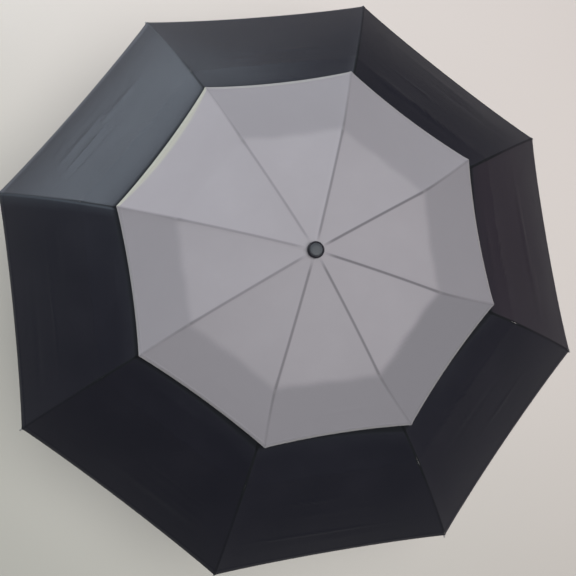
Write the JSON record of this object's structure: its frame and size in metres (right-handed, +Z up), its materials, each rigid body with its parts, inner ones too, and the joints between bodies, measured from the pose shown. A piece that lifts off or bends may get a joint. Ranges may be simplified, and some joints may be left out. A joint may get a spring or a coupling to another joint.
{
  "type": "folding umbrella",
  "caption": "Open three-fold umbrella with a grey vented upper canopy over a black lower one, telescoping steel shaft, sliding runner and hinged ribs.",
  "frame": {"origin": "middle of the hand grip, on the shaft's axis", "axes": "+Z runs up the shaft to the finial, +X along rib 1; ribs are numbered anticlockwise seen from above"},
  "size_m": [1.1248, 1.1248, 0.6167],
  "materials": {
    "grip": "matt soft-touch black",
    "plastic": "black moulded plastic",
    "bright_metal": "bright plated ring",
    "shaft_steel": "drawn steel tube",
    "wire": "bright steel wire",
    "cap": "dark grey satin plastic",
    "button": "dark grey satin plastic",
    "grey_cloth": "close plain weave, light grey",
    "black_cloth": "close plain weave, black",
    "rib_steel": "black lacquered steel",
    "rib_fibre": "black resin and fibre rod"
  },
  "bodies": {
    "handle": {"handle_grip": "grip", "handle_end_cap": "plastic", "handle_collar": "bright_metal", "shaft_lower_tube": "shaft_steel"},
    "middle_tube": {"shaft_middle_tube": "shaft_steel"},
    "upper_tube": {"shaft_upper_tube": "shaft_steel", "crown": "plastic", "crown_ring_wire": "wire", "canopy_washer": "plastic", "finial_cap": "cap", "upper_canopy": "grey_cloth", "lower_canopy": "black_cloth"},
    "runner": {"runner": "plastic", "runner_ring_wire": "wire"},
    "release_button": {"release_button": "button"},
    "top_rib_1": {"top_rib_1": "rib_steel"},
    "main_rib_1": {"main_rib_1": "rib_steel"},
    "outer_rib_1": {"outer_rib_1": "rib_fibre"},
    "stretcher_1": {"stretcher_1": "rib_steel"},
    "top_rib_2": {"top_rib_2": "rib_steel"},
    "main_rib_2": {"main_rib_2": "rib_steel"},
    "outer_rib_2": {"outer_rib_2": "rib_fibre"},
    "stretcher_2": {"stretcher_2": "rib_steel"},
    "top_rib_3": {"top_rib_3": "rib_steel"},
    "main_rib_3": {"main_rib_3": "rib_steel"},
    "outer_rib_3": {"outer_rib_3": "rib_fibre"},
    "stretcher_3": {"stretcher_3": "rib_steel"},
    "top_rib_4": {"top_rib_4": "rib_steel"},
    "main_rib_4": {"main_rib_4": "rib_steel"},
    "outer_rib_4": {"outer_rib_4": "rib_fibre"},
    "stretcher_4": {"stretcher_4": "rib_steel"},
    "top_rib_5": {"top_rib_5": "rib_steel"},
    "main_rib_5": {"main_rib_5": "rib_steel"},
    "outer_rib_5": {"outer_rib_5": "rib_fibre"},
    "stretcher_5": {"stretcher_5": "rib_steel"},
    "top_rib_6": {"top_rib_6": "rib_steel"},
    "main_rib_6": {"main_rib_6": "rib_steel"},
    "outer_rib_6": {"outer_rib_6": "rib_fibre"},
    "stretcher_6": {"stretcher_6": "rib_steel"},
    "top_rib_7": {"top_rib_7": "rib_steel"},
    "main_rib_7": {"main_rib_7": "rib_steel"},
    "outer_rib_7": {"outer_rib_7": "rib_fibre"},
    "stretcher_7": {"stretcher_7": "rib_steel"},
    "top_rib_8": {"top_rib_8": "rib_steel"},
    "main_rib_8": {"main_rib_8": "rib_steel"},
    "outer_rib_8": {"outer_rib_8": "rib_fibre"},
    "stretcher_8": {"stretcher_8": "rib_steel"}
  },
  "joints": [
    {"name": "middle_tube_slide", "type": "slide", "parent": "handle", "child": "middle_tube", "axis": [0, 0, 1], "range_m": [-0.125, 0]},
    {"name": "upper_tube_slide", "type": "slide", "parent": "middle_tube", "child": "upper_tube", "axis": [0, 0, 1], "range_m": [-0.125, 0]},
    {"name": "runner_slide", "type": "slide", "parent": "upper_tube", "child": "runner", "axis": [0, 0, 1], "range_m": [-0.14192, 0], "deforming": ["upper_canopy", "lower_canopy"]},
    {"name": "release_button_press", "type": "slide", "parent": "runner", "child": "release_button", "axis": [-0.9239, -0.3827, 0], "range_m": [0, 0.0015], "stiffness_N_per_m": 700, "springref_m": -0.002},
    {"name": "crown_hinge_1", "type": "hinge", "parent": "upper_tube", "child": "top_rib_1", "pos_m": [0.0105, 0, 0.55988], "axis": [0, -1, 0], "range_deg": [-72.06, 0]},
    {"name": "inner_knuckle_1", "type": "hinge", "parent": "top_rib_1", "child": "main_rib_1", "pos_m": [0.2125, 0, 0.50596], "axis": [0, -1, 0], "range_deg": [0, 187.78]},
    {"name": "outer_knuckle_1", "type": "hinge", "parent": "main_rib_1", "child": "outer_rib_1", "pos_m": [0.3808, 0, 0.42306], "axis": [0, -1, 0], "range_deg": [-165.7, 0]},
    {"name": "runner_hinge_1", "type": "hinge", "parent": "runner", "child": "stretcher_1", "pos_m": [0.0105, 0, 0.47992], "axis": [0, -1, 0], "range_deg": [0, 55.17]},
    {"name": "crown_hinge_2", "type": "hinge", "parent": "upper_tube", "child": "top_rib_2", "pos_m": [0.00743, 0.00743, 0.55988], "axis": [0.7071, -0.7071, 0], "range_deg": [-72.06, 0]},
    {"name": "inner_knuckle_2", "type": "hinge", "parent": "top_rib_2", "child": "main_rib_2", "pos_m": [0.15026, 0.15026, 0.50596], "axis": [0.7071, -0.7071, 0], "range_deg": [0, 187.78]},
    {"name": "outer_knuckle_2", "type": "hinge", "parent": "main_rib_2", "child": "outer_rib_2", "pos_m": [0.26927, 0.26927, 0.42306], "axis": [0.7071, -0.7071, 0], "range_deg": [-165.7, 0]},
    {"name": "runner_hinge_2", "type": "hinge", "parent": "runner", "child": "stretcher_2", "pos_m": [0.00743, 0.00743, 0.47992], "axis": [0.7071, -0.7071, 0], "range_deg": [0, 55.17]},
    {"name": "crown_hinge_3", "type": "hinge", "parent": "upper_tube", "child": "top_rib_3", "pos_m": [0, 0.0105, 0.55988], "axis": [1, 0, 0], "range_deg": [-72.06, 0]},
    {"name": "inner_knuckle_3", "type": "hinge", "parent": "top_rib_3", "child": "main_rib_3", "pos_m": [0, 0.2125, 0.50596], "axis": [1, 0, 0], "range_deg": [0, 187.78]},
    {"name": "outer_knuckle_3", "type": "hinge", "parent": "main_rib_3", "child": "outer_rib_3", "pos_m": [0, 0.3808, 0.42306], "axis": [1, 0, 0], "range_deg": [-165.7, 0]},
    {"name": "runner_hinge_3", "type": "hinge", "parent": "runner", "child": "stretcher_3", "pos_m": [0, 0.0105, 0.47992], "axis": [1, 0, 0], "range_deg": [0, 55.17]},
    {"name": "crown_hinge_4", "type": "hinge", "parent": "upper_tube", "child": "top_rib_4", "pos_m": [-0.00743, 0.00743, 0.55988], "axis": [0.7071, 0.7071, 0], "range_deg": [-72.06, 0]},
    {"name": "inner_knuckle_4", "type": "hinge", "parent": "top_rib_4", "child": "main_rib_4", "pos_m": [-0.15026, 0.15026, 0.50596], "axis": [0.7071, 0.7071, 0], "range_deg": [0, 187.78]},
    {"name": "outer_knuckle_4", "type": "hinge", "parent": "main_rib_4", "child": "outer_rib_4", "pos_m": [-0.26927, 0.26927, 0.42306], "axis": [0.7071, 0.7071, 0], "range_deg": [-165.7, 0]},
    {"name": "runner_hinge_4", "type": "hinge", "parent": "runner", "child": "stretcher_4", "pos_m": [-0.00743, 0.00743, 0.47992], "axis": [0.7071, 0.7071, 0], "range_deg": [0, 55.17]},
    {"name": "crown_hinge_5", "type": "hinge", "parent": "upper_tube", "child": "top_rib_5", "pos_m": [-0.0105, 0, 0.55988], "axis": [0, 1, 0], "range_deg": [-72.06, 0]},
    {"name": "inner_knuckle_5", "type": "hinge", "parent": "top_rib_5", "child": "main_rib_5", "pos_m": [-0.2125, 0, 0.50596], "axis": [0, 1, 0], "range_deg": [0, 187.78]},
    {"name": "outer_knuckle_5", "type": "hinge", "parent": "main_rib_5", "child": "outer_rib_5", "pos_m": [-0.3808, 0, 0.42306], "axis": [0, 1, 0], "range_deg": [-165.7, 0]},
    {"name": "runner_hinge_5", "type": "hinge", "parent": "runner", "child": "stretcher_5", "pos_m": [-0.0105, 0, 0.47992], "axis": [0, 1, 0], "range_deg": [0, 55.17]},
    {"name": "crown_hinge_6", "type": "hinge", "parent": "upper_tube", "child": "top_rib_6", "pos_m": [-0.00743, -0.00743, 0.55988], "axis": [-0.7071, 0.7071, 0], "range_deg": [-72.06, 0]},
    {"name": "inner_knuckle_6", "type": "hinge", "parent": "top_rib_6", "child": "main_rib_6", "pos_m": [-0.15026, -0.15026, 0.50596], "axis": [-0.7071, 0.7071, 0], "range_deg": [0, 187.78]},
    {"name": "outer_knuckle_6", "type": "hinge", "parent": "main_rib_6", "child": "outer_rib_6", "pos_m": [-0.26927, -0.26927, 0.42306], "axis": [-0.7071, 0.7071, 0], "range_deg": [-165.7, 0]},
    {"name": "runner_hinge_6", "type": "hinge", "parent": "runner", "child": "stretcher_6", "pos_m": [-0.00743, -0.00743, 0.47992], "axis": [-0.7071, 0.7071, 0], "range_deg": [0, 55.17]},
    {"name": "crown_hinge_7", "type": "hinge", "parent": "upper_tube", "child": "top_rib_7", "pos_m": [0, -0.0105, 0.55988], "axis": [-1, 0, 0], "range_deg": [-72.06, 0]},
    {"name": "inner_knuckle_7", "type": "hinge", "parent": "top_rib_7", "child": "main_rib_7", "pos_m": [0, -0.2125, 0.50596], "axis": [-1, 0, 0], "range_deg": [0, 187.78]},
    {"name": "outer_knuckle_7", "type": "hinge", "parent": "main_rib_7", "child": "outer_rib_7", "pos_m": [0, -0.3808, 0.42306], "axis": [-1, 0, 0], "range_deg": [-165.7, 0]},
    {"name": "runner_hinge_7", "type": "hinge", "parent": "runner", "child": "stretcher_7", "pos_m": [0, -0.0105, 0.47992], "axis": [-1, 0, 0], "range_deg": [0, 55.17]},
    {"name": "crown_hinge_8", "type": "hinge", "parent": "upper_tube", "child": "top_rib_8", "pos_m": [0.00743, -0.00743, 0.55988], "axis": [-0.7071, -0.7071, 0], "range_deg": [-72.06, 0]},
    {"name": "inner_knuckle_8", "type": "hinge", "parent": "top_rib_8", "child": "main_rib_8", "pos_m": [0.15026, -0.15026, 0.50596], "axis": [-0.7071, -0.7071, 0], "range_deg": [0, 187.78]},
    {"name": "outer_knuckle_8", "type": "hinge", "parent": "main_rib_8", "child": "outer_rib_8", "pos_m": [0.26927, -0.26927, 0.42306], "axis": [-0.7071, -0.7071, 0], "range_deg": [-165.7, 0]},
    {"name": "runner_hinge_8", "type": "hinge", "parent": "runner", "child": "stretcher_8", "pos_m": [0.00743, -0.00743, 0.47992], "axis": [-0.7071, -0.7071, 0], "range_deg": [0, 55.17]}
  ],
  "couplings": [
    {"joint": "crown_hinge_1", "follows": "runner_slide", "rad_per_m": 8.861},
    {"joint": "inner_knuckle_1", "follows": "runner_slide", "rad_per_m": -23.092},
    {"joint": "outer_knuckle_1", "follows": "runner_slide", "rad_per_m": 20.376},
    {"joint": "runner_hinge_1", "follows": "runner_slide", "rad_per_m": -6.7836},
    {"joint": "crown_hinge_2", "follows": "runner_slide", "rad_per_m": 8.861},
    {"joint": "inner_knuckle_2", "follows": "runner_slide", "rad_per_m": -23.092},
    {"joint": "outer_knuckle_2", "follows": "runner_slide", "rad_per_m": 20.376},
    {"joint": "runner_hinge_2", "follows": "runner_slide", "rad_per_m": -6.7836},
    {"joint": "crown_hinge_3", "follows": "runner_slide", "rad_per_m": 8.861},
    {"joint": "inner_knuckle_3", "follows": "runner_slide", "rad_per_m": -23.092},
    {"joint": "outer_knuckle_3", "follows": "runner_slide", "rad_per_m": 20.376},
    {"joint": "runner_hinge_3", "follows": "runner_slide", "rad_per_m": -6.7836},
    {"joint": "crown_hinge_4", "follows": "runner_slide", "rad_per_m": 8.861},
    {"joint": "inner_knuckle_4", "follows": "runner_slide", "rad_per_m": -23.092},
    {"joint": "outer_knuckle_4", "follows": "runner_slide", "rad_per_m": 20.376},
    {"joint": "runner_hinge_4", "follows": "runner_slide", "rad_per_m": -6.7836},
    {"joint": "crown_hinge_5", "follows": "runner_slide", "rad_per_m": 8.861},
    {"joint": "inner_knuckle_5", "follows": "runner_slide", "rad_per_m": -23.092},
    {"joint": "outer_knuckle_5", "follows": "runner_slide", "rad_per_m": 20.376},
    {"joint": "runner_hinge_5", "follows": "runner_slide", "rad_per_m": -6.7836},
    {"joint": "crown_hinge_6", "follows": "runner_slide", "rad_per_m": 8.861},
    {"joint": "inner_knuckle_6", "follows": "runner_slide", "rad_per_m": -23.092},
    {"joint": "outer_knuckle_6", "follows": "runner_slide", "rad_per_m": 20.376},
    {"joint": "runner_hinge_6", "follows": "runner_slide", "rad_per_m": -6.7836},
    {"joint": "crown_hinge_7", "follows": "runner_slide", "rad_per_m": 8.861},
    {"joint": "inner_knuckle_7", "follows": "runner_slide", "rad_per_m": -23.092},
    {"joint": "outer_knuckle_7", "follows": "runner_slide", "rad_per_m": 20.376},
    {"joint": "runner_hinge_7", "follows": "runner_slide", "rad_per_m": -6.7836},
    {"joint": "crown_hinge_8", "follows": "runner_slide", "rad_per_m": 8.861},
    {"joint": "inner_knuckle_8", "follows": "runner_slide", "rad_per_m": -23.092},
    {"joint": "outer_knuckle_8", "follows": "runner_slide", "rad_per_m": 20.376},
    {"joint": "runner_hinge_8", "follows": "runner_slide", "rad_per_m": -6.7836}
  ]
}
